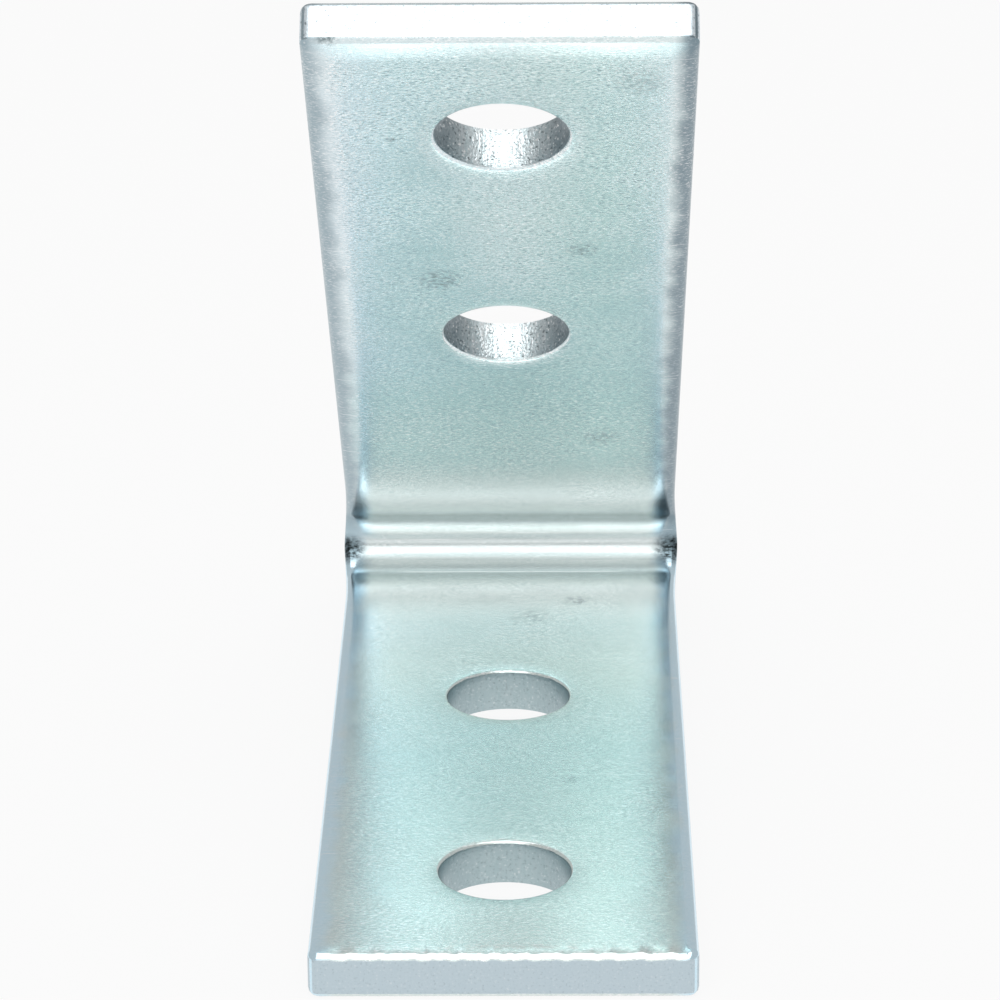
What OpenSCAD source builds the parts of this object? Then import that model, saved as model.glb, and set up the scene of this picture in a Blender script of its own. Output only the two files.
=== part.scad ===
// Closed angle fitting for strut framing: one flat steel bar, pierced from its inner face and then
// folded so that its two legs stand at an acute angle to each other.
// X runs across the bar, Y along the base leg with the open end at -Y, and Z up. The base leg lies
// flat on Z = 0, and the origin is below the middle of the fitting, halfway along the base leg.

/* [Bar] */
// Width of the flat bar
bar_width = 41.3; // [30:0.1:80]
// Thickness of the flat bar
bar_thickness = 5.2; // [3:0.05:9]
// Radius of the long edges on the inner face, where the shear rolled them over
inner_edge_radius = 0.8; // [0.3:0.1:1.4]
// Radius of the long edges on the outer face
outer_edge_radius = 0.7; // [0.2:0.1:1.5]

/* [Legs] */
// Angle between the inner faces of the two legs
leg_angle = 45; // [30:1:90]
// Base leg, from its cropped end to the back of the bend
base_leg_length = 115.4; // [95:0.1:200]
// Upper leg, from its cropped end to the back of the bend, measured along the leg
upper_leg_length = 129.5; // [95:0.1:250]

/* [Bend] */
// Radius on the inside of the bend
bend_radius = 3.6; // [1:0.1:12]
// How far the squeezed metal stands proud of each side at the inside of the bend
bend_swell = 0.75; // [0.1:0.05:1.5]
// Distance from the inside of the bend at which that swell has died away
swell_reach = 4.4; // [2:0.1:12]

/* [Holes] */
// Diameter of the punched holes
hole_diameter = 14.3; // [6:0.1:22]
// From the cropped end of a leg to the centre of its first hole
end_to_hole = 20.6; // [14:0.1:36]
// Distance between the two holes of a leg
hole_pitch = 47.6; // [20:0.1:68]
// Radius of the soft lip where the punch went in
punch_lip_radius = 0.4; // [0.2:0.1:1.5]
// Depth of the broken wall where the slug tore out of the outer face
breakout_depth = 1; // [0.2:0.1:1.9]
// How far the broken wall widens the hole on each side
breakout_width = 0.25; // [0.1:0.05:0.8]

/* [Ends] */
// Radius of a cropped end's edge on the inner face
end_lip_radius = 0.6; // [0.2:0.1:1.4]
// Radius of a cropped end's edge on the outer face
end_break_radius = 0.4; // [0.2:0.1:1.4]
// Radius of the four corners of the bar, seen square to its face
end_corner_radius = 1; // [0.2:0.1:4]

/* [Hidden] */
$fn = 96;

// Cutters run this far past the metal that they trim
overrun = 1;
// The swell's flank is sunk this far in the bar's rounded edge
swell_sink = 0.08;
// The swell dies away at least this far short of the round on the outer face
swell_margin = 0.1;
// The bend is drawn this many degrees past the base leg's joint and trimmed off there
bend_overrun = 10;

half_width = bar_width / 2;
hole_radius = hole_diameter / 2;
outer_bend_radius = bend_radius + bar_thickness;
bend_sweep = 180 - leg_angle;

// Where the swell has died away, and how far along a leg its lip is drawn, past that place
swell_fade = min(swell_reach, bar_thickness - outer_edge_radius - swell_margin);
lip_run = 3 * swell_fade + bend_radius;

// Straight stretch of each leg, from its cropped end to the line where the bend starts
base_straight = base_leg_length - outer_bend_radius;
upper_straight = upper_leg_length - outer_bend_radius;

// Axis of the bend, parallel to X
bend_y = base_leg_length / 2 - outer_bend_radius;
bend_z = outer_bend_radius;

steel = "#b9c8ca";

// What a round of this radius takes off a square corner at the origin, with the metal up and right
module corner_trim(radius) {
    difference() {
        translate([-overrun, -overrun]) square(radius + overrun);
        translate([radius, radius]) circle(r = radius);
    }
}

// Section of the bar: x is the distance from the bend's axis, y the place across the bar
module bar_section() {
    difference() {
        translate([bend_radius, -half_width]) square([bar_thickness, bar_width]);
        for (side = [0, 1])
            mirror([0, side]) {
                translate([bend_radius, half_width]) rotate(-90) corner_trim(inner_edge_radius);
                translate([outer_bend_radius, half_width]) rotate(180) corner_trim(outer_edge_radius);
            }
    }
}

// Lays a section down as the base leg has it: across X, inner face up, extruded towards -Y
module lay_along_leg() {
    rotate([0, 90, 0]) rotate([90, 0, 0]) children();
}

// Section of the band whose two lips the swell raises: its flanks lean out at 45 degrees from the
// bar's rounded edges, and the rest is buried in the bar
module lip_section() {
    lean = 2 * inner_edge_radius * (1 - cos(45)) + swell_sink;
    reach = bend_swell + overrun;
    root = half_width - inner_edge_radius;
    foot = outer_bend_radius - outer_edge_radius;
    flank = [
        [bend_radius + inner_edge_radius, root],
        [bend_radius + lean / 2, half_width - lean / 2],
        [bend_radius + lean + reach, half_width + reach],
        [foot, half_width + reach]
    ];
    polygon(concat(flank, [for (i = [3:-1:0]) [flank[i][0], -flank[i][1]]]));
}

// Body that the swell is trimmed to: the swell falls off evenly with the distance from the bend's axis,
// as a flat cone does
module swell_drum() {
    buried = inner_edge_radius + overrun;
    wide = bend_radius + swell_fade * (1 + buried / bend_swell);
    rotate([0, 90, 0]) rotate_extrude()
        polygon([
            [0, -half_width - bend_swell],
            [bend_radius, -half_width - bend_swell],
            [wide, buried - half_width],
            [wide, half_width - buried],
            [bend_radius, half_width + bend_swell],
            [0, half_width + bend_swell]
        ]);
}

// The band at its full height, along the start of both legs and round the bend
module lip_band() {
    base_place() lay_along_leg() linear_extrude(height = lip_run) lip_section();
    round_the_bend() lip_section();
    upper_place() lay_along_leg() linear_extrude(height = lip_run) lip_section();
}

// Swell on both sides of the bend
module bend_swell_lips() {
    intersection() {
        lip_band();
        swell_drum();
    }
}

// Rounds the edges of a leg's cropped end, which lies at y = -straight
module end_trims(straight) {
    translate([0, -straight, -bend_radius]) rotate([-90, 0, 90])
        linear_extrude(height = bar_width + 2 * overrun, center = true)
            corner_trim(end_lip_radius);
    translate([0, -straight, -outer_bend_radius]) rotate([90, 0, 90])
        linear_extrude(height = bar_width + 2 * overrun, center = true)
            corner_trim(end_break_radius);
    for (side = [0, 1])
        mirror([side, 0, 0])
            translate([-half_width, -straight, -outer_bend_radius - overrun])
                linear_extrude(height = bar_thickness + 2 * overrun)
                    corner_trim(end_corner_radius);
}

// Space that the punch leaves: a soft lip, a straight land and a broken, wider exit. The inner face
// of the bar is at z = 0 and the punch goes down.
module punched_hole() {
    rotate_extrude()
        difference() {
            polygon([
                [0, overrun],
                [hole_radius + punch_lip_radius, overrun],
                [hole_radius + punch_lip_radius, -punch_lip_radius],
                [hole_radius, -punch_lip_radius],
                [hole_radius, breakout_depth - bar_thickness],
                [hole_radius + breakout_width, -bar_thickness],
                [hole_radius + breakout_width, -bar_thickness - overrun],
                [0, -bar_thickness - overrun]
            ]);
            translate([hole_radius + punch_lip_radius, -punch_lip_radius])
                circle(r = punch_lip_radius);
        }
}

// One leg, lying as the base leg does, from the bend's axis at y = 0 to its cropped end
module leg(straight) {
    difference() {
        lay_along_leg() linear_extrude(height = straight) bar_section();
        end_trims(straight);
        for (from_end = [end_to_hole, end_to_hole + hole_pitch])
            translate([0, from_end - straight, -bend_radius]) punched_hole();
    }
}

// Sweeps a section about the bend's axis, from the upper leg to the base leg. It is drawn in the upper
// leg's own place and trimmed in the base leg's, so that it meets both of them exactly at any angle.
module round_the_bend() {
    room = 2 * outer_bend_radius;
    difference() {
        upper_place() rotate([0, 90, 0]) rotate_extrude(angle = bend_sweep + bend_overrun) children();
        base_place() translate([-bar_width, -room, -room]) cube([2 * bar_width, room, 2 * room]);
    }
}

// The legs are placed with the plane that halves their angle upright, by equal and opposite turns of
// what is drawn lying flat with its open end at -Y
module base_place() {
    rotate([-bend_sweep / 2, 0, 0]) children();
}

module upper_place() {
    rotate([bend_sweep / 2, 0, 0]) mirror([0, 1, 0]) children();
}

// The bar as the press left it, but for the swell
module folded_bar() {
    base_place() leg(base_straight);
    round_the_bend() bar_section();
    upper_place() leg(upper_straight);
}

// The whole fitting, in one piece
module angle_fitting() {
    color(steel)
        translate([0, bend_y, bend_z]) rotate([bend_sweep / 2, 0, 0]) {
            folded_bar();
            bend_swell_lips();
        }
}

angle_fitting();
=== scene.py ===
"""Dresses a closed angle fitting for strut framing: one flat steel bar, punched, folded and zinc plated."""

import logging
import math
from collections.abc import Callable, Iterable
from dataclasses import dataclass, field
from enum import Enum

import bmesh
import bpy
import numpy as np
from mathutils import Matrix, Vector


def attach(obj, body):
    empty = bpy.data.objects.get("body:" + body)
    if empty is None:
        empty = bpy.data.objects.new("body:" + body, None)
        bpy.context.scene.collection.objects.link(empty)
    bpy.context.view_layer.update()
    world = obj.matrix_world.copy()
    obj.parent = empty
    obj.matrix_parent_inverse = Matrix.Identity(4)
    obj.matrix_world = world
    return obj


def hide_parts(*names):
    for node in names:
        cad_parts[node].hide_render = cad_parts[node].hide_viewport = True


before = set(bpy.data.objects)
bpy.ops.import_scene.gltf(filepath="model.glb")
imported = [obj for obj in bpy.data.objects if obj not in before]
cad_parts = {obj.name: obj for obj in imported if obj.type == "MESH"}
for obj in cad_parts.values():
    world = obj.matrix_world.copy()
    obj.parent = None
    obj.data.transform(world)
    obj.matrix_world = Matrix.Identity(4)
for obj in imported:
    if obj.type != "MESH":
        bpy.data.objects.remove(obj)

LOG = logging.getLogger("angle_fitting")
MM = 0.001
CAD_NODE = "angle_fitting"
BODY = "root"
BLANK_PLACE = "blank_place"

# Places closer than this, in millimetres, are taken as the same
TOUCH = 1e-3
# Vertices closer than this, in millimetres, are welded
WELD = 1e-4
# A point of a rounded corner lies past this share of the radius from the round's centre
CORNER_SHARE = 0.93
# The ranges that most of a noise's values lie in, a wide one and a narrow one
WIDE_NOISE = (0.3, 0.7)
NARROW_NOISE = (0.35, 0.65)

Socket = bpy.types.NodeSocket
Colour = tuple[float, float, float, float]


class Kind(Enum):
    """What a selection in edit mode is made of."""

    EDGE = "EDGE"
    FACE = "FACE"


class Surface(Enum):
    """The surfaces of the fitting that were made in different ways, by material slot."""

    ROLLED = 0
    SHEARED = 1
    PUNCHED = 2


def linear(hex_colour: str) -> Colour:
    """Turns an sRGB hex colour to linear.

    Args:
        hex_colour: a colour such as "#c0d0d2".

    Returns:
        Red, green, blue and alpha, linear.
    """
    parts = [int(hex_colour[i : i + 2], 16) / 255 for i in (1, 3, 5)]
    light = [c / 12.92 if c <= 0.04045 else ((c + 0.055) / 1.055) ** 2.4 for c in parts]
    return (*light, 1.0)


def add_node(
    tree: bpy.types.NodeTree,
    kind: str,
    inputs: dict | None = None,
    **settings: object,
) -> bpy.types.Node:
    """Adds a node with its settings, its socket values and its links.

    Args:
        tree: the node tree of a material or a world.
        kind: Blender's name of the node type.
        inputs: a value or an output socket for each input, by name or number.
        settings: properties of the node.

    Returns:
        The new node.
    """
    node = tree.nodes.new(kind)
    for name, value in settings.items():
        setattr(node, name, value)
    for name, value in (inputs or {}).items():
        if isinstance(value, bpy.types.NodeSocket):
            tree.links.new(value, node.inputs[name])
        else:
            node.inputs[name].default_value = value
    return node


def smooth_step(values: np.ndarray, low: float, high: float) -> np.ndarray:
    """Rises smoothly from 0 at low to 1 at high.

    Args:
        values: the numbers to grade.
        low: where the rise starts.
        high: where the rise ends.

    Returns:
        The grades, from 0 to 1.
    """
    share = np.clip((values - low) / (high - low), 0.0, 1.0)
    return share * share * (3.0 - 2.0 * share)


def spread(start: float, end: float, step: float) -> list[float]:
    """Even places from start to just before end.

    Args:
        start: the first place.
        end: where the next stretch starts.
        step: the widest gap between two places.

    Returns:
        The places, without end.
    """
    count = max(1, math.ceil((end - start) / step - 1e-6))
    return [start + (end - start) * i / count for i in range(count)]


class PlateNodes:
    """The nodes of one plating material, with the places on the flat bar that its patterns are drawn by.

    Places are in millimetres: across the bar from its middle, and along it from the base leg's end.
    """

    def __init__(self, name: str) -> None:
        """Starts a material.

        Args:
            name: the material's name.
        """
        self.material = bpy.data.materials.new(name)
        self.material.use_nodes = True
        self.tree = self.material.node_tree
        self.shader = self.tree.nodes["Principled BSDF"]
        self.shader.inputs["Metallic"].default_value = 1.0
        stored = add_node(self.tree, "ShaderNodeAttribute", attribute_name=BLANK_PLACE)
        self.place = stored.outputs["Vector"]
        axes = add_node(self.tree, "ShaderNodeSeparateXYZ", {"Vector": self.place})
        self.across, self.along = axes.outputs["X"], axes.outputs["Y"]
        self.off_middle = self.work_out("ABSOLUTE", self.across)

    def work_out(
        self, operation: str, first: Socket, second: Socket | float = 0.0, clamp: bool = False
    ) -> Socket:
        """Works out a number from one or two others.

        Args:
            operation: Blender's name of the operation.
            first: the first number.
            second: the second number, where there is one.
            clamp: whether the result stays from 0 to 1.

        Returns:
            The result.
        """
        node = add_node(
            self.tree, "ShaderNodeMath", {0: first, 1: second}, operation=operation, use_clamp=clamp
        )
        return node.outputs["Value"]

    def away_from(self, value: Socket, middle: float) -> Socket:
        """Distance of a number from a middle.

        Args:
            value: the number.
            middle: where the distance is 0.

        Returns:
            The distance.
        """
        return self.work_out("ABSOLUTE", self.work_out("SUBTRACT", value, middle))

    def grade(
        self,
        value: Socket,
        span: tuple[float, float],
        least: float = 0.0,
        most: float = 1.0,
        smooth: bool = False,
    ) -> Socket:
        """Grades a number over a span, and holds it beyond the span's ends.

        Args:
            value: the number to grade.
            span: where the grade is least and where it is most.
            least: the grade at the span's start.
            most: the grade at the span's end.
            smooth: whether the grade eases in and out.

        Returns:
            The grade.
        """
        node = add_node(
            self.tree,
            "ShaderNodeMapRange",
            {"Value": value, "From Min": span[0], "From Max": span[1], "To Min": least, "To Max": most},
            interpolation_type="SMOOTHSTEP" if smooth else "LINEAR",
        )
        return node.outputs["Result"]

    def mix(self, share: Socket, first: Socket | Colour, second: Socket | Colour) -> Socket:
        """Mixes two colours.

        Args:
            share: how much of the second there is.
            first: the first colour.
            second: the second colour.

        Returns:
            The mixed colour.
        """
        node = add_node(
            self.tree, "ShaderNodeMix", {"Factor": share, "A": first, "B": second}, data_type="RGBA"
        )
        return node.outputs["Result"]

    def noise(self, size: float, detail: float, roughness: float = 0.5) -> Socket:
        """A cloudy pattern.

        Args:
            size: size of its clouds, in millimetres.
            detail: how many finer layers it has.
            roughness: how strong the finer layers are.

        Returns:
            Its value, from 0 to 1.
        """
        node = add_node(
            self.tree,
            "ShaderNodeTexNoise",
            {"Vector": self.place, "Scale": 1 / size, "Detail": detail, "Roughness": roughness},
        )
        return node.outputs["Fac"]

    def drawn_noise(
        self,
        size: tuple[float, float, float],
        detail: float,
        roughness: float = 0.5,
        distortion: float = 0.0,
    ) -> Socket:
        """A cloudy pattern that is drawn out in one direction.

        Args:
            size: size of its clouds across, along and through the bar, in millimetres.
            detail: how many finer layers it has.
            roughness: how strong the finer layers are.
            distortion: how much its shapes are twisted.

        Returns:
            Its value, from 0 to 1.
        """
        scale = tuple(1 / length for length in size)
        drawn = add_node(
            self.tree, "ShaderNodeVectorMath", {0: self.place, 1: scale}, operation="MULTIPLY"
        )
        node = add_node(
            self.tree,
            "ShaderNodeTexNoise",
            {
                "Vector": drawn.outputs["Vector"],
                "Scale": 1.0,
                "Detail": detail,
                "Roughness": roughness,
                "Distortion": distortion,
            },
        )
        return node.outputs["Fac"]

    def raise_grain(self, strength: Socket, depth: float, height: Socket) -> None:
        """Bumps the surface.

        Args:
            strength: how strong the bumps are.
            depth: how deep they are at a strength of 1, in millimetres.
            height: the pattern of the bumps.
        """
        bump = add_node(
            self.tree, "ShaderNodeBump", {"Strength": strength, "Distance": depth * MM, "Height": height}
        )
        self.tree.links.new(bump.outputs["Normal"], self.shader.inputs["Normal"])

    def paint(self, colour: Socket) -> None:
        """Gives the metal its colour.

        Args:
            colour: the colour.
        """
        self.tree.links.new(colour, self.shader.inputs["Base Color"])


@dataclass(frozen=True)
class Smudge:
    """A darker patch on the plating: grubby dirt, except at the bend's corners, where it is painted shade.
    Its place is on the flat bar, in millimetres.
    """

    across: float
    along: float
    reach: float
    dulling: float
    tall: float = 1.0
    colour: str = "#5f6f73"
    smooth: bool = False


@dataclass(frozen=True)
class ToolLine:
    """A fine bright line that the bending tool pressed across the bar, in millimetres."""

    along: float
    colour: str
    strength: float
    fade: tuple[float, float] = (0.22, 0.08)
    ends: tuple[float, float] = (15.0, 12.0)


@dataclass(frozen=True)
class ZincFinish:
    """Bright zinc electroplate with a clear blue passivation, on hot-rolled and pickled flat bar.

    The eye sees a satin, pale blue-green metal that turns creamy near the bend with a painted reflection,
    with painted grey shade in the fold and painted teal shade above it, and lavender along its edges, a
    painted reflection on the base leg and painted grey shade on the upper one. The pickled grain gives a
    fine wrinkled sparkle of painted glints; there are hair scratches from handling, a few grubby dark
    marks, and painted shade at the bend's corners. The grain is strongest towards the upper leg's end.
    Sizes are in millimetres.
    """

    name: str = "zinc_plate_on_rolled_bar"
    # slow changes of colour
    blue: str = "#dfecf2"
    green: str = "#e1eeed"
    cloud_size: float = 26.0
    lean_width: float = 20.0
    lean: float = 0.3
    base_leg: str = "#dce6e0"
    base_leg_band: tuple[float, float] = (96.0, 70.0)
    base_leg_share: float = 0.62
    # painted teal shade on the upper leg above the bend
    teal: str = "#cbe1e2"
    teal_place: float = 146.0
    teal_reach: tuple[float, float] = (24.0, 7.0)
    teal_share: float = 0.8
    # painted cream reflection around the bend
    cream: str = "#eef3f1"
    cream_reach: tuple[float, float] = (26.0, 14.0)
    # painted grey shade in the fold of the bend
    bend: str = "#ccd5d5"
    bend_place: float = 113.3
    bend_reach: tuple[float, float] = (9.0, 6.0)
    # edges: painted reflection along the base leg's edges and painted shade along the upper leg's
    base_edge: str = "#d5eefa"
    upper_left_edge: str = "#9fb1b9"
    upper_right_edge: str = "#7f919a"
    edge_band: tuple[float, float] = (17.6, 19.8)
    edge_wobble: float = 0.6
    edge_wobble_size: float = 6.0
    leg_change: float = 6.0
    side_change: float = 10.0
    # grain, whose bright flecks are painted glints
    dark_fleck: str = "#9db1b6"
    dark_fleck_span: tuple[float, float] = (0.45, 0.3)
    dark_fleck_share: float = 1.0
    # painted glints on the grain's peaks, also the colour of the hair scratches
    bright_fleck: str = "#ffffff"
    bright_fleck_span: tuple[float, float] = (0.53, 0.66)
    bright_fleck_share: float = 2.2
    fleck_size: tuple[float, float, float] = (0.52, 0.18, 0.18)
    fleck_depth: float = 0.04
    grain_patch: float = 11.0
    grain_patch_span: tuple[float, float] = (0.55, 1.35)
    grain_band: tuple[float, float] = (128.0, 225.0)
    least_grain: float = 0.36
    end_band: tuple[float, float] = (236.0, 239.0)
    end_grain: float = 0.3
    side_band: tuple[float, float] = (16.8, 18.6)
    side_grain: float = 0.25
    bend_grain: float = 0.3
    scratch_size: tuple[float, float, float] = (16.0, 0.22, 0.22)
    scratch_span: tuple[float, float] = (0.67, 0.77)
    scratch_share: float = 0.45
    # sheen and dirt, with painted shade at the bend's corners
    roughness: tuple[float, float] = (0.17, 0.23)
    sheen_patch: float = 7.0
    smudge_grain: float = 0.7
    smudge_span: tuple[float, float] = (0.42, 0.62)
    smudge_core: float = 0.25
    smudges: tuple[Smudge, ...] = (
        Smudge(-7.2, 187.0, 3.4, 0.55),
        Smudge(8.6, 194.3, 2.4, 0.5),
        Smudge(8.2, 97.0, 2.2, 0.4),
        Smudge(2.6, 92.0, 3.4, 0.3),
        Smudge(7.3, 43.7, 1.8, 0.22),
        Smudge(14.6, 232.5, 3.6, 0.4),
        Smudge(-17.7, 240.9, 1.6, 0.8),
        Smudge(-11.8, 220.2, 0.7, 0.9),
        Smudge(11.2, 144.5, 3.2, 0.35),
        # painted shade in the bend's corners, where its sides swell
        Smudge(-19.8, 112.6, 2.2, 0.75, 1.7, "#4a5a60", True),
        Smudge(19.7, 112.6, 2.5, 0.75, 1.7, "#4a5a60", True),
        Smudge(-19.9, 112.6, 2.0, 1.2, 1.7, "#232b2d"),
        Smudge(19.8, 112.6, 2.2, 1.2, 1.7, "#232b2d"),
    )
    tool_line: ToolLine = ToolLine(107.0, "#ffffff", 0.7)

    def make(self) -> bpy.types.Material:
        """Builds the material.

        Returns:
            The material.
        """
        nodes = PlateNodes(self.name)
        fleck = nodes.drawn_noise(self.fleck_size, detail=2.0, roughness=0.6, distortion=0.8)
        amount = self.grain_amount(nodes)
        colour = self.tint(nodes)
        # painted reflection along the base leg's edges and painted shade along the upper leg's
        colour = nodes.mix(self.edge_share(nodes), colour, self.edge_tint(nodes))
        colour = self.grain(nodes, fleck, amount, colour)
        # grubby patches, and painted shade at the bend's corners
        colour = self.soil(nodes, colour)
        colour = self.score(nodes, colour)
        nodes.paint(colour)
        sheen = nodes.grade(nodes.noise(self.sheen_patch, detail=3.0), NARROW_NOISE, *self.roughness)
        nodes.tree.links.new(sheen, nodes.shader.inputs["Roughness"])
        nodes.raise_grain(amount, self.fleck_depth, fleck)
        return nodes.material

    def grain_amount(self, nodes: PlateNodes) -> Socket:
        """How strong the grain is: strongest high on the upper leg, faint at the bend, edges and ends.

        Args:
            nodes: the material's nodes.

        Returns:
            The strength, from 0 to about 1.3.
        """
        patches = nodes.noise(self.grain_patch, detail=3.0)
        off_bend = nodes.away_from(nodes.along, self.bend_place)
        amount = nodes.grade(patches, WIDE_NOISE, *self.grain_patch_span)
        for measure, span, least, most in (
            (nodes.along, self.grain_band, self.least_grain, 1.0),
            (nodes.along, self.end_band, 1.0, self.end_grain),
            (nodes.off_middle, self.side_band, 1.0, self.side_grain),
            (off_bend, self.bend_reach, 1.0, self.bend_grain),
        ):
            amount = nodes.work_out("MULTIPLY", amount, nodes.grade(measure, span, least, most))
        return amount

    def tint(self, nodes: PlateNodes) -> Socket:
        """Slow changes of colour: blue to the left, green clouds, painted teal shade above the bend, a
        painted cream reflection around it and painted grey shade in the fold.

        Args:
            nodes: the material's nodes.

        Returns:
            The colour.
        """
        clouds = nodes.noise(self.cloud_size, detail=4.0)
        leaning = nodes.grade(nodes.across, (-self.lean_width, self.lean_width), -self.lean, self.lean)
        green_share = nodes.work_out("ADD", clouds, leaning, clamp=True)
        colour = nodes.mix(green_share, linear(self.blue), linear(self.green))
        off_bend = nodes.away_from(nodes.along, self.bend_place)
        off_teal = nodes.away_from(nodes.along, self.teal_place)
        # painted teal shade above the bend, painted cream reflection around it and painted grey shade in
        # the fold
        for measure, span, hex_colour, most in (
            (nodes.along, self.base_leg_band, self.base_leg, self.base_leg_share),
            (off_teal, self.teal_reach, self.teal, self.teal_share),
            (off_bend, self.cream_reach, self.cream, 1.0),
            (off_bend, self.bend_reach, self.bend, 1.0),
        ):
            share = nodes.grade(measure, span, most=most, smooth=True)
            colour = nodes.mix(share, colour, linear(hex_colour))
        return colour

    def edge_share(self, nodes: PlateNodes) -> Socket:
        """Where the painted reflection and shade along the edges lie, with a wavering border.

        Args:
            nodes: the material's nodes.

        Returns:
            The share of the painted edge reflection and shade, from 0 to 1.
        """
        waver = nodes.noise(self.edge_wobble_size, detail=3.0)
        wobble = nodes.grade(waver, WIDE_NOISE, -self.edge_wobble, self.edge_wobble)
        return nodes.grade(nodes.work_out("ADD", nodes.off_middle, wobble), self.edge_band, smooth=True)

    def edge_tint(self, nodes: PlateNodes) -> Socket:
        """Painted reflection and shade along the edges: a pale reflection on the base leg, grey shade on
        the upper one, darkest to its right.

        Args:
            nodes: the material's nodes.

        Returns:
            The colour.
        """
        right_share = nodes.grade(nodes.across, (-self.side_change, self.side_change))
        upper = nodes.mix(right_share, linear(self.upper_left_edge), linear(self.upper_right_edge))
        change = (self.bend_place - self.leg_change, self.bend_place + self.leg_change)
        return nodes.mix(nodes.grade(nodes.along, change), linear(self.base_edge), upper)

    def grain(self, nodes: PlateNodes, fleck: Socket, amount: Socket, colour: Socket) -> Socket:
        """Adds the dark flecks, the bright flecks that are painted glints, and the hair scratches.

        Args:
            nodes: the material's nodes.
            fleck: height of the grain's wrinkles.
            amount: how strong the grain is there.
            colour: the colour so far.

        Returns:
            The colour.
        """
        for hex_colour, span, most in (
            (self.dark_fleck, self.dark_fleck_span, self.dark_fleck_share),
            (self.bright_fleck, self.bright_fleck_span, self.bright_fleck_share),
        ):
            share = nodes.work_out("MULTIPLY", nodes.grade(fleck, span, most=most), amount, clamp=True)
            colour = nodes.mix(share, colour, linear(hex_colour))
        hairs = nodes.drawn_noise(self.scratch_size, detail=1.0, distortion=0.3)
        scratched = nodes.grade(hairs, self.scratch_span, most=self.scratch_share)
        return nodes.mix(scratched, colour, linear(self.bright_fleck))

    def soil(self, nodes: PlateNodes, colour: Socket) -> Socket:
        """Adds the grubby patches and the painted shade at the bend's corners, most of them broken up by a
        fine noise.

        Args:
            nodes: the material's nodes.
            colour: the colour so far.

        Returns:
            The colour.
        """
        broken = nodes.noise(self.smudge_grain, detail=4.0, roughness=0.7)
        grip = nodes.grade(broken, self.smudge_span)
        for spot in self.smudges:
            middle = (spot.across, spot.along, 0.0)
            offset = add_node(
                nodes.tree, "ShaderNodeVectorMath", {0: nodes.place, 1: middle}, operation="SUBTRACT"
            )
            squeezed = add_node(
                nodes.tree,
                "ShaderNodeVectorMath",
                {0: offset.outputs["Vector"], 1: (1.0, 1.0 / spot.tall, 0.5)},
                operation="MULTIPLY",
            )
            gap = add_node(
                nodes.tree, "ShaderNodeVectorMath", {0: squeezed.outputs["Vector"]}, operation="LENGTH"
            )
            span = (spot.reach, spot.reach * self.smudge_core)
            share = nodes.grade(gap.outputs["Value"], span, most=spot.dulling, smooth=True)
            if not spot.smooth:
                share = nodes.work_out("MULTIPLY", share, grip, clamp=True)
            colour = nodes.mix(share, colour, linear(spot.colour))
        return colour

    def score(self, nodes: PlateNodes, colour: Socket) -> Socket:
        """Adds the line that the bending tool left.

        Args:
            nodes: the material's nodes.
            colour: the colour so far.

        Returns:
            The colour.
        """
        line = self.tool_line
        near = nodes.grade(nodes.away_from(nodes.along, line.along), line.fade, most=line.strength)
        inside = nodes.grade(nodes.off_middle, line.ends)
        return nodes.mix(nodes.work_out("MULTIPLY", near, inside), colour, linear(line.colour))


@dataclass(frozen=True)
class CutFinish:
    """Zinc plate over a wall that a tool cut: the cropped ends, the sheared sides and the punched holes.

    The eye sees a greyer metal than on the faces, with streaks along the tool's stroke, small pits and
    a fine sparkle of painted glints. The upper leg's walls are the brighter and rougher ones, as painted
    shade darkens the base leg's walls; the walls to the left and right of a hole's middle carry painted
    shade as well. Sizes are in millimetres.
    """

    name: str
    tone: str
    streak: str
    # painted shade for the base leg's walls
    base_leg_tone: str
    pit: str
    roughness: float
    streak_size: tuple[float, float, float]
    pit_share: float
    bump: float
    side_shade: float = 0.0
    shade: str = "#73828a"
    glint: str = "#ffffff"
    leg_change: tuple[float, float] = (100.0, 130.0)
    base_leg_share: float = 0.8
    base_leg_pits: float = 0.3
    side_band: tuple[float, float] = (2.4, 6.0)
    grain_size: float = 0.32
    pit_span: tuple[float, float] = (0.42, 0.3)
    glint_span: tuple[float, float] = (0.6, 0.7)
    bump_depth: float = 0.1

    def make(self) -> bpy.types.Material:
        """Builds the material.

        Returns:
            The material.
        """
        nodes = PlateNodes(self.name)
        streaks = nodes.drawn_noise(self.streak_size, detail=3.0, roughness=0.6)
        grain = nodes.noise(self.grain_size, detail=2.0, roughness=0.6)
        torn = nodes.grade(nodes.along, self.leg_change, least=self.base_leg_pits)
        colour = nodes.mix(nodes.grade(streaks, NARROW_NOISE), linear(self.tone), linear(self.streak))
        # painted shade darkens the base leg's walls
        dull = nodes.grade(nodes.along, self.leg_change, self.base_leg_share, 0.0)
        colour = nodes.mix(dull, colour, linear(self.base_leg_tone))
        sides = nodes.grade(nodes.off_middle, self.side_band, most=self.side_shade)
        colour = nodes.mix(nodes.work_out("MULTIPLY", sides, torn), colour, linear(self.shade))
        for hex_colour, span in ((self.pit, self.pit_span), (self.glint, self.glint_span)):
            share = nodes.work_out("MULTIPLY", nodes.grade(grain, span, most=self.pit_share), torn)
            colour = nodes.mix(share, colour, linear(hex_colour))
        nodes.paint(colour)
        strength = nodes.work_out("MULTIPLY", torn, self.bump)
        nodes.raise_grain(strength, self.bump_depth, nodes.work_out("ADD", streaks, grain))
        nodes.shader.inputs["Roughness"].default_value = self.roughness
        return nodes.material


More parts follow.
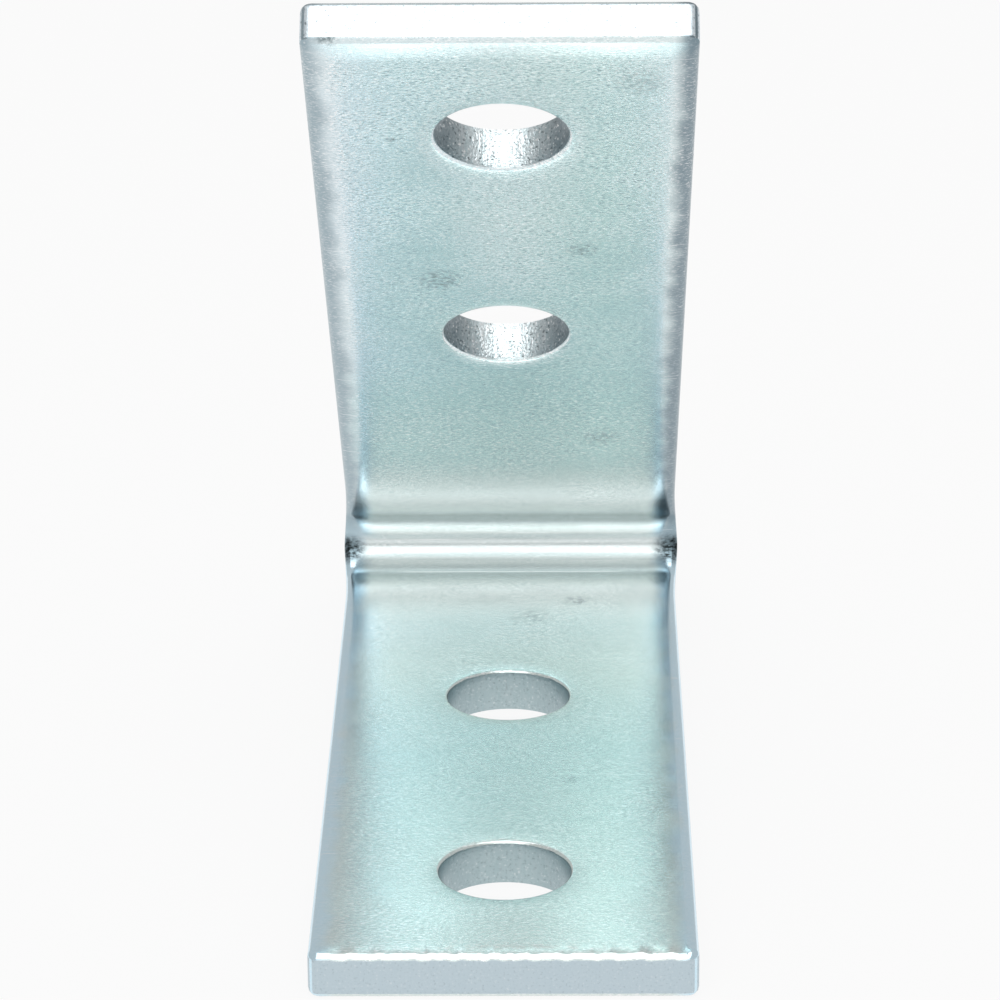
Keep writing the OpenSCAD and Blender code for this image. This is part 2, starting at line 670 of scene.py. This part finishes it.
SHEARED_FINISH = CutFinish(
    name="zinc_plate_on_sheared_edge",
    tone="#dae7ee",
    streak="#e1ecf2",
    # painted shade on the base leg's sheared walls
    base_leg_tone="#bbcbd3",
    pit="#67757b",
    roughness=0.36,
    streak_size=(0.9, 0.9, 5.0),
    pit_share=0.8,
    bump=0.3,
)
PUNCHED_FINISH = CutFinish(
    name="zinc_plate_on_punched_wall",
    tone="#d9e9ec",
    streak="#edf5f7",
    # painted shade on the base leg's hole walls
    base_leg_tone="#a0b5b9",
    pit="#4b575b",
    roughness=0.3,
    streak_size=(0.45, 0.45, 2.6),
    pit_share=0.95,
    bump=1.0,
    side_shade=0.85,
)


@dataclass
class AngleFitting:
    """The one piece: a flat bar, laid out flat, punched, thickened, eased at its edges and folded.

    While the bar is flat, X runs across it, Y along it from the base leg's cropped end, and Z is 0 on
    the face that ends up inside the angle. Sizes are in millimetres.
    """

    name: str = "folded_bar"
    width: float = 41.0
    thickness: float = 5.2
    base_end: float = -57.7
    base_reach: float = 115.29
    upper_reach: float = 129.39
    leg_angle: float = 45.0
    bend_radius: float = 4.1
    hole_radius: float = 7.15
    end_to_hole: float = 20.6
    hole_pitch: float = 47.6
    inner_edge: float = 0.7
    outer_edge: float = 0.95
    plan_corner: float = 1.2
    first_line: float = 1.35
    punch_lip: float = 0.4
    breakout_depth: float = 1.0
    breakout_width: float = 0.25
    swell: float = 0.6
    swell_reach: float = 11.5
    swell_side: float = 3.0
    left_roll: tuple[float, float] = (0.36, 3.6)
    right_roll: tuple[float, float] = (0.28, 3.0)
    base_roll_share: float = 0.32
    lower_end_roll: tuple[float, float] = (0.32, 1.7)
    upper_end_roll: tuple[float, float] = (0.5, 3.6)
    roll_power: float = 2.0
    upper_end_power: float = 1.4
    roll_depth: float = 2.0
    base_hole_dish: float = 0.1
    upper_hole_dish: float = 0.3
    hole_dish_reach: float = 2.5
    # rate, start and size of the waves that make the lower end's roll ragged
    end_waves: tuple[tuple[float, float, float], ...] = (
        (2.1, 0.3, 0.25),
        (3.7, 1.9, 0.2),
        (6.3, 0.8, 0.15),
    )
    patch_cell: float = 0.62
    patch_cells: int = 17
    rim_cells: int = 12
    face_step: float = 0.8
    bend_rows: int = 24
    wall_cuts: tuple[float, ...] = (1.2, 1.8, 2.4, 3.0, 3.6, 4.2, 4.55)
    corner_faces: int = 5
    inner_edge_faces: int = 6
    outer_edge_faces: int = 4
    lip_faces: int = 7
    wall_margin: float = 0.05
    sheared_depths: tuple[float, float] = (0.8, 0.5)
    sheared_margin: float = 0.3
    punched_margin: float = 0.02
    smooth_angle: float = 40.0
    piece: bpy.types.Object | None = field(default=None, init=False)

    @property
    def outer_bend(self) -> float:
        """Radius on the outside of the bend."""
        return self.bend_radius + self.thickness

    @property
    def set_back(self) -> float:
        """From the corner where the inner faces would meet to the line where the bend starts."""
        return self.bend_radius / math.tan(math.radians(self.leg_angle / 2))

    @property
    def base_straight(self) -> float:
        """Straight stretch of the base leg."""
        return self.base_reach - self.set_back

    @property
    def upper_straight(self) -> float:
        """Straight stretch of the upper leg."""
        return self.upper_reach - self.set_back

    @property
    def sweep(self) -> float:
        """Angle that the bar is folded through, in radians."""
        return math.radians(180.0 - self.leg_angle)

    @property
    def bend_length(self) -> float:
        """Length of the folded stretch while the bar is flat, at the middle of the metal."""
        return (self.bend_radius + self.thickness / 2) * self.sweep

    @property
    def blank_length(self) -> float:
        """Length of the flat bar."""
        return self.base_straight + self.bend_length + self.upper_straight

    @property
    def hole_places(self) -> tuple[float, ...]:
        """Places of the four holes along the flat bar."""
        near = (self.end_to_hole, self.end_to_hole + self.hole_pitch)
        return (*near, *(self.blank_length - place for place in reversed(near)))

    @property
    def patch(self) -> float:
        """Half the side of the square patch of faces that each hole is drawn in."""
        return self.patch_cell * self.patch_cells

    def columns(self) -> list[float]:
        """Places of the lines of vertices across the bar.

        Returns:
            The places, from one long edge to the other.
        """
        half = self.width / 2
        outside = [-half, *spread(self.first_line - half, -self.patch, self.face_step)]
        inside = spread(-self.patch, self.patch, self.patch_cell)
        return [*outside, *inside, self.patch, *(-place for place in reversed(outside))]

    def rows(self) -> list[float]:
        """Places of the lines of vertices along the bar.

        Returns:
            The places, from the base leg's cropped end to the upper leg's.
        """
        bend_start = self.base_straight
        bend_end = bend_start + self.bend_length
        marks = [self.first_line]
        for hole in self.hole_places[:2]:
            marks += [hole - self.patch, hole + self.patch]
        marks += [bend_start, bend_end]
        for hole in self.hole_places[2:]:
            marks += [hole - self.patch, hole + self.patch]
        marks.append(self.blank_length - self.first_line)
        places = [0.0]
        for start, end in zip(marks, marks[1:]):
            step = self.face_step
            if start == bend_start:
                step = self.bend_length / self.bend_rows
            if abs(end - start - 2 * self.patch) < 1e-6:
                step = self.patch_cell
            places += spread(start, end, step)
        return [*places, marks[-1], self.blank_length]

    def pick(self, kind: Kind, test: Callable[[Vector], bool]) -> int:
        """Selects what passes a test of its middle, in edit mode, in millimetres.

        Args:
            kind: edges or faces.
            test: takes a middle point and says whether it is wanted.

        Returns:
            How many were selected.
        """
        bpy.ops.mesh.select_mode(type=kind.value)
        bpy.ops.mesh.select_all(action="DESELECT")
        form = bmesh.from_edit_mesh(self.piece.data)
        parts: Iterable = form.edges if kind is Kind.EDGE else form.faces
        count = 0
        for part in parts:
            if kind is Kind.EDGE:
                middle = (part.verts[0].co + part.verts[1].co) / 2
            else:
                middle = part.calc_center_median()
            if test(middle / MM):
                part.select_set(True)
                count += 1
        form.select_flush_mode()
        bmesh.update_edit_mesh(self.piece.data)
        return count

    def places(self) -> np.ndarray:
        """Vertex places of the piece, in millimetres."""
        flat = np.empty(len(self.piece.data.vertices) * 3)
        self.piece.data.vertices.foreach_get("co", flat)
        return flat.reshape(-1, 3) / MM

    def move_to(self, places: np.ndarray) -> None:
        """Moves the vertices of the piece to places in millimetres."""
        self.piece.data.vertices.foreach_set("co", (places * MM).astype(np.float32).ravel())
        self.piece.data.update()

    def lay_out(self) -> None:
        """Lays the inner face out flat as a grid whose lines fit the holes, the bend and the edges."""
        columns, rows = np.array(self.columns()), np.array(self.rows())
        bpy.ops.object.select_all(action="DESELECT")
        bpy.ops.mesh.primitive_grid_add(
            x_subdivisions=len(columns) - 1, y_subdivisions=len(rows) - 1, size=MM
        )
        self.piece = bpy.context.active_object
        self.piece.name = self.name
        self.piece.data.name = self.name
        even = self.places()
        across = np.rint((even[:, 0] + 0.5) * (len(columns) - 1)).astype(int)
        along = np.rint((even[:, 1] + 0.5) * (len(rows) - 1)).astype(int)
        self.move_to(np.column_stack([columns[across], rows[along], np.zeros(len(even))]))

    def draw_holes(self) -> None:
        """Deletes the faces of each hole and draws the squares around it round."""
        bpy.ops.object.mode_set(mode="EDIT")
        rim = self.rim_cells * self.patch_cell

        def in_a_hole(middle: Vector) -> bool:
            """Whether a face lies inside the rim of a hole."""
            return any(
                abs(middle.x) < rim and abs(middle.y - hole) < rim for hole in self.hole_places
            )

        self.pick(Kind.FACE, in_a_hole)
        bpy.ops.mesh.delete(type="FACE")
        bpy.ops.object.mode_set(mode="OBJECT")
        places = self.places()
        ring_radii = np.interp(
            np.arange(self.patch_cells + 1),
            [0, self.rim_cells, self.rim_cells + 1, self.patch_cells],
            [0, self.hole_radius, self.hole_radius + 2 * self.punch_lip, self.patch],
        )
        for hole in self.hole_places:
            x, y = places[:, 0], places[:, 1] - hole
            reach = np.maximum(abs(x), abs(y))
            inside = reach < self.patch - self.patch_cell / 2
            ring = np.rint(reach / self.patch_cell).astype(int).clip(0, self.patch_cells)
            wide = abs(x) >= abs(y)
            with np.errstate(divide="ignore", invalid="ignore"):
                turn = np.where(
                    wide,
                    math.pi / 4 * y / x + np.where(x < 0, math.pi, 0.0),
                    math.pi / 2 - math.pi / 4 * x / y + np.where(y < 0, math.pi, 0.0),
                )
            radius = ring_radii[ring]
            share = ((ring - self.rim_cells) / (self.patch_cells - self.rim_cells)).clip(0, 1) ** 2
            round_x, round_y = radius * np.cos(turn), radius * np.sin(turn)
            square = radius / np.maximum(reach, 1e-9)
            places[inside, 0] = ((1 - share) * round_x + share * square * x)[inside]
            places[inside, 1] = (hole + (1 - share) * round_y + share * square * y)[inside]
        self.move_to(places)

    def thicken(self) -> None:
        """Extrudes the face to the bar's thickness, and eases its corners, edges and hole rims."""
        half, length, depth = self.width / 2, self.blank_length, self.thickness
        bpy.ops.object.mode_set(mode="EDIT")
        bpy.ops.mesh.select_all(action="SELECT")
        bpy.ops.mesh.extrude_region_move(TRANSFORM_OT_translate={"value": (0, 0, -depth * MM)})
        bpy.ops.mesh.select_all(action="SELECT")
        bpy.ops.mesh.normals_make_consistent(inside=False)

        def at_corner(p: Vector) -> bool:
            """Whether an edge is one of the four upright corners."""
            at_end = min(abs(p.y), abs(p.y - length)) < TOUCH
            return abs(abs(p.x) - half) < TOUCH and at_end

        def at_outline(p: Vector) -> bool:
            """Whether a point lies on the bar's outline, its rounded corners included."""
            from_side, from_end = half - abs(p.x), min(p.y, length - p.y)
            r = self.plan_corner
            if from_side < r and from_end < r:
                return math.hypot(r - from_side, r - from_end) > r * CORNER_SHARE
            return min(from_side, from_end) < TOUCH

        def at_rim(p: Vector) -> bool:
            """Whether a point lies on the rim of a hole."""
            return any(
                math.hypot(p.x, p.y - hole) < self.hole_radius + TOUCH for hole in self.hole_places
            )

        self.bevel(at_corner, self.plan_corner, self.corner_faces)
        self.bevel(lambda p: abs(p.z) < TOUCH and at_outline(p), self.inner_edge, self.inner_edge_faces)
        self.bevel(
            lambda p: abs(p.z + depth) < TOUCH and at_outline(p), self.outer_edge, self.outer_edge_faces
        )
        self.bevel(lambda p: abs(p.z) < TOUCH and at_rim(p), self.punch_lip, self.lip_faces)
        for cut in self.wall_cuts:
            bpy.ops.mesh.select_all(action="SELECT")
            bpy.ops.mesh.bisect(plane_co=(0, 0, -cut * MM), plane_no=(0, 0, 1))
        bpy.ops.mesh.select_all(action="SELECT")
        bpy.ops.mesh.remove_doubles(threshold=WELD * MM)
        bpy.ops.mesh.normals_make_consistent(inside=False)
        bpy.ops.object.mode_set(mode="OBJECT")

    def bevel(self, test: Callable[[Vector], bool], radius: float, segments: int) -> None:
        """Rounds the edges whose middles pass a test.

        Args:
            test: says whether an edge's middle is wanted.
            radius: radius of the round, in millimetres.
            segments: number of faces across the round.
        """
        count = self.pick(Kind.EDGE, test)
        LOG.info("rounding %d edges to %.2f mm", count, radius)
        bpy.ops.mesh.bevel(
            offset=radius * MM, segments=segments, profile=0.5, affect="EDGES", clamp_overlap=False
        )

    def form(self) -> None:
        """Presses the lips and rolled edges into the flat bar, folds it, and swells the bend's sides."""
        flat = self.places()
        across, along, depth = flat[:, 0].copy(), flat[:, 1].copy(), -flat[:, 2]
        from_holes = [np.hypot(across, along - hole) for hole in self.hole_places]
        gaps = np.min(from_holes, axis=0) - self.hole_radius
        self.piece.data.attributes.new(BLANK_PLACE, "FLOAT_VECTOR", "POINT").data.foreach_set(
            "vector", np.column_stack([across, along, depth]).astype(np.float32).ravel()
        )
        half, length, thick = self.width / 2, self.blank_length, self.thickness
        inner_share = np.clip(1 - depth / self.roll_depth, 0, 1)
        upper_share = smooth_step(along, self.base_straight, self.base_straight + self.bend_length)
        side_share = self.base_roll_share + (1 - self.base_roll_share) * upper_share
        ragged = 1 + sum(size * np.sin(rate * across + start) for rate, start, size in self.end_waves)
        rolls = [
            drop * share * np.clip(1 - gap / (reach * share), 0, 1) ** power
            for gap, (drop, reach), share, power in (
                (half + across, self.left_roll, side_share, self.roll_power),
                (half - across, self.right_roll, side_share, self.roll_power),
                (along, self.lower_end_roll, ragged, self.roll_power),
                (length - along, self.upper_end_roll, 1.0, self.upper_end_power),
            )
        ]
        dish = self.base_hole_dish + (self.upper_hole_dish - self.base_hole_dish) * upper_share
        dished = np.clip(1 - gaps / self.hole_dish_reach, 0, 1) ** 2
        sunk = np.max(rolls, axis=0) + dish * dished
        depth = depth + sunk * inner_share
        torn = np.clip((depth - (thick - self.breakout_depth)) / self.breakout_depth, 0, 1)
        at_wall = gaps < self.wall_margin
        for hole in self.hole_places:
            mine = at_wall & (np.hypot(across, along - hole) < self.hole_radius + 2 * self.wall_margin)
            wider = 1 + self.breakout_width * torn[mine] / self.hole_radius
            across[mine] *= wider
            along[mine] = hole + (along[mine] - hole) * wider
        past = np.clip(along - self.base_straight, 0, self.bend_length)
        turn = past / self.bend_length * self.sweep
        radius = self.bend_radius + depth
        run = np.where(along < self.base_straight, along - self.base_straight, 0.0)
        run = run + np.maximum(along - self.base_straight - self.bend_length, 0.0)
        y = self.base_end + self.base_straight + radius * np.sin(turn) + run * np.cos(turn)
        z = self.outer_bend - radius * np.cos(turn) + run * np.sin(turn)
        squeezed_y = self.base_end + self.base_straight + self.bend_radius * math.sin(self.sweep / 2)
        squeezed_z = self.outer_bend - self.bend_radius * math.cos(self.sweep / 2)
        from_squeeze = np.hypot(y - squeezed_y, z - squeezed_z)
        swelled = self.swell * np.clip(1 - from_squeeze / self.swell_reach, 0, 1) ** 2
        outward = np.sign(across) * smooth_step(abs(across), half - self.swell_side, half)
        across = across + swelled * outward
        self.move_to(np.column_stack([across, y, z]))

    def dress(self, finishes: dict[Surface, bpy.types.Material]) -> None:
        """Gives each surface its finish, and smooth shading.

        Args:
            finishes: a material for each kind of surface.
        """
        for surface in Surface:
            self.piece.data.materials.append(finishes[surface])
        half, length = self.width / 2, self.blank_length
        stored = self.piece.data.attributes[BLANK_PLACE].data
        spots = np.empty(len(stored) * 3, dtype=np.float32)
        stored.foreach_get("vector", spots)
        spots = spots.reshape(-1, 3)
        in_hole = self.hole_radius + self.punched_margin
        top = self.inner_edge * self.sheared_depths[0]
        foot = self.thickness - self.outer_edge * self.sheared_depths[1]
        for face in self.piece.data.polygons:
            across, along, depth = spots[list(face.vertices)].mean(axis=0)
            below_lip = top < depth < foot
            from_edge = min(half - abs(across), along, length - along)
            if any(math.hypot(across, along - hole) < in_hole for hole in self.hole_places):
                face.material_index = Surface.PUNCHED.value
            elif below_lip and from_edge < self.sheared_margin:
                face.material_index = Surface.SHEARED.value
        bpy.ops.object.select_all(action="DESELECT")
        self.piece.select_set(True)
        bpy.context.view_layer.objects.active = self.piece
        bpy.ops.object.shade_smooth_by_angle(angle=math.radians(self.smooth_angle))

    def build(self, finishes: dict[Surface, bpy.types.Material]) -> None:
        """Makes the piece in the order that the shop would, and puts it in the frame.

        Args:
            finishes: a material for each kind of surface.
        """
        self.lay_out()
        self.draw_holes()
        self.thicken()
        self.form()
        self.dress(finishes)
        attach(self.piece, BODY)
        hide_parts(CAD_NODE)
        LOG.info("%s: %d vertices", self.name, len(self.piece.data.vertices))


@dataclass(frozen=True)
class SoftBox:
    """A soft box. Sizes are in metres, and a level of 1 looks white."""

    name: str
    place: tuple[float, float, float]
    size: tuple[float, float]
    level: float

    def hang(self, target: tuple[float, float, float]) -> None:
        """Hangs the box, turned to the fitting.

        Args:
            target: the place that it is turned to.
        """
        wide, high = self.size
        data = bpy.data.lights.new(self.name, "AREA")
        data.shape = "RECTANGLE"
        data.size = wide
        data.size_y = high
        data.energy = self.level * math.pi * wide * high
        lamp = bpy.data.objects.new(self.name, data)
        bpy.context.scene.collection.objects.link(lamp)
        lamp.location = self.place
        beam = Vector(target) - Vector(self.place)
        lamp.rotation_euler = beam.to_track_quat("-Z", "Y").to_euler()


@dataclass
class Studio:
    """Plain white sweep, soft light and the photograph's view. Sizes are in metres, turns in degrees."""

    camera_place: tuple[float, float, float] = (0.005337, -0.489652, 0.222483)
    yaw: float = -0.7052
    pitch: float = 21.0781
    roll: float = -0.4162
    lens: float = 166.168
    sensor: float = 36.0
    floor_side: float = 6.0
    floor_drop: float = 0.00002
    floor_colour: str = "#cbcbcb"
    floor_roughness: float = 0.9
    burn_out: float = 0.9
    world_level: float = 0.58
    lamp_target: tuple[float, float, float] = (0.0, 0.0, 0.04)
    soft_boxes: tuple[SoftBox, ...] = (
        SoftBox("overhead", (0.0, -0.25, 1.1), (1.0, 1.3), 1.6),
        SoftBox("front", (-0.25, -1.55, 1.256), (1.9, 1.1), 1.12),
        SoftBox("low_front", (-0.2, -1.9, 0.3), (1.8, 0.46), 0.62),
    )

    def place_camera(self) -> None:
        """Puts the camera where the photograph was taken from."""
        yaw, pitch, roll = (math.radians(a) for a in (self.yaw, self.pitch, self.roll))
        ahead = Vector(
            (math.sin(yaw) * math.cos(pitch), math.cos(yaw) * math.cos(pitch), -math.sin(pitch))
        )
        level = Vector((math.cos(yaw), -math.sin(yaw), 0.0))
        upright = level.cross(ahead)
        right = math.cos(roll) * level + math.sin(roll) * upright
        up = -math.sin(roll) * level + math.cos(roll) * upright
        data = bpy.data.cameras.new("photo_view")
        data.lens = self.lens
        data.sensor_width = self.sensor
        camera = bpy.data.objects.new("photo_view", data)
        bpy.context.scene.collection.objects.link(camera)
        turn = Matrix((right, up, -ahead)).transposed().to_4x4()
        camera.matrix_world = Matrix.Translation(self.camera_place) @ turn
        bpy.context.scene.camera = camera

    def lay_floor(self) -> None:
        """Lays the pale floor that the fitting stands on."""
        bpy.ops.object.select_all(action="DESELECT")
        bpy.ops.mesh.primitive_plane_add(size=self.floor_side, location=(0, 0, -self.floor_drop))
        floor = bpy.context.active_object
        floor.name = "floor"
        material = bpy.data.materials.new("matt_white_paper")
        material.use_nodes = True
        tree = material.node_tree
        shader = tree.nodes["Principled BSDF"]
        shader.inputs["Base Color"].default_value = linear(self.floor_colour)
        shader.inputs["Roughness"].default_value = self.floor_roughness
        # the camera and the metal see the sweep burnt out to white, with only a breath of shadow left on it
        path = add_node(tree, "ShaderNodeLightPath")
        seen_by = path.outputs["Is Camera Ray"]
        for ray in ("Is Glossy Ray", "Is Transmission Ray"):
            seen_by = add_node(
                tree, "ShaderNodeMath", {0: seen_by, 1: path.outputs[ray]}, operation="MAXIMUM"
            ).outputs["Value"]
        burnt = add_node(
            tree, "ShaderNodeMapRange", {"Value": seen_by, "To Min": 0.0, "To Max": self.burn_out}
        )
        white = add_node(tree, "ShaderNodeEmission", {"Strength": 1.0})
        seen = add_node(
            tree,
            "ShaderNodeMixShader",
            {0: burnt.outputs["Result"], 1: shader.outputs["BSDF"], 2: white.outputs["Emission"]},
        )
        tree.links.new(seen.outputs["Shader"], tree.nodes["Material Output"].inputs["Surface"])
        floor.data.materials.append(material)

    def light(self) -> None:
        """Hangs the soft boxes and sets the room's level."""
        world = bpy.data.worlds.new("studio")
        bpy.context.scene.world = world
        world.use_nodes = True
        backdrop = world.node_tree.nodes["Background"]
        backdrop.inputs["Color"].default_value = (1, 1, 1, 1)
        backdrop.inputs["Strength"].default_value = self.world_level
        for box in self.soft_boxes:
            box.hang(self.lamp_target)

    def set_up(self) -> None:
        """Makes the camera, the floor and the light."""
        self.place_camera()
        self.lay_floor()
        self.light()
        bpy.context.scene.view_settings.view_transform = "Standard"


def main() -> None:
    """Builds the fitting and the studio."""
    logging.basicConfig(level=logging.INFO, format="%(name)s: %(message)s")
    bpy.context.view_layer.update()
    finishes = {
        Surface.ROLLED: ZincFinish().make(),
        Surface.SHEARED: SHEARED_FINISH.make(),
        Surface.PUNCHED: PUNCHED_FINISH.make(),
    }
    AngleFitting().build(finishes)
    Studio().set_up()


if __name__ == "__main__":
    main()
